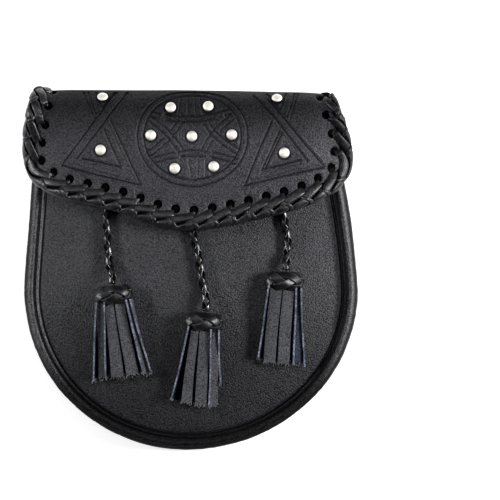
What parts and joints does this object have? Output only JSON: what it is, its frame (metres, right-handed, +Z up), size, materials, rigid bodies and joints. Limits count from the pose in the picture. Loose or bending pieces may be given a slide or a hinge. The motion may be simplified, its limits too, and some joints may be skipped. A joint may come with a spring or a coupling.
{
  "type": "sporran pouch",
  "caption": "Rounded leather belt pouch with a piped gusset, a lace-edged flap with embossed knotwork and domed studs, and braided cords with leather tassels.",
  "frame": {"origin": "on the surface the pouch lies on, under the middle of its box measured without the tassels", "axes": "+Z up, out of the pouch's front; +Y towards the folded top; +X to the right as seen from the front"},
  "size_m": [0.1892, 0.2061, 0.0444],
  "materials": {
    "body_leather": "satin grain",
    "lace_leather": "glossy",
    "strip_leather": "suede",
    "stud_metal": "nickel plated"
  },
  "bodies": {
    "root": {"back_and_flap": "body_leather", "front_panel": "body_leather", "gusset": "body_leather", "piping": "lace_leather", "edge_lacing": "lace_leather", "stud_left_upper": "stud_metal", "stud_left_triangle": "stud_metal", "stud_ring_upper_left": "stud_metal", "stud_ring_upper_right": "stud_metal", "stud_ring_left": "stud_metal", "stud_ring_centre": "stud_metal", "stud_ring_right": "stud_metal", "stud_ring_lower_left": "stud_metal", "stud_ring_lower_right": "stud_metal", "stud_right_upper": "stud_metal", "stud_right_triangle": "stud_metal", "cord_anchor_left": "body_leather", "cord_anchor_middle": "body_leather", "cord_anchor_right": "body_leather", "tassel_cord_left": "lace_leather", "tassel_cord_middle": "lace_leather", "tassel_cord_right": "lace_leather", "tassel_knot_left": "lace_leather", "tassel_knot_middle": "lace_leather", "tassel_knot_right": "lace_leather", "tassel_strips_left": "strip_leather", "tassel_strips_middle": "strip_leather", "tassel_strips_right": "strip_leather", "flap_snap": "stud_metal", "belt_loop_left": "body_leather", "belt_loop_right": "body_leather"}
  },
  "joints": []
}
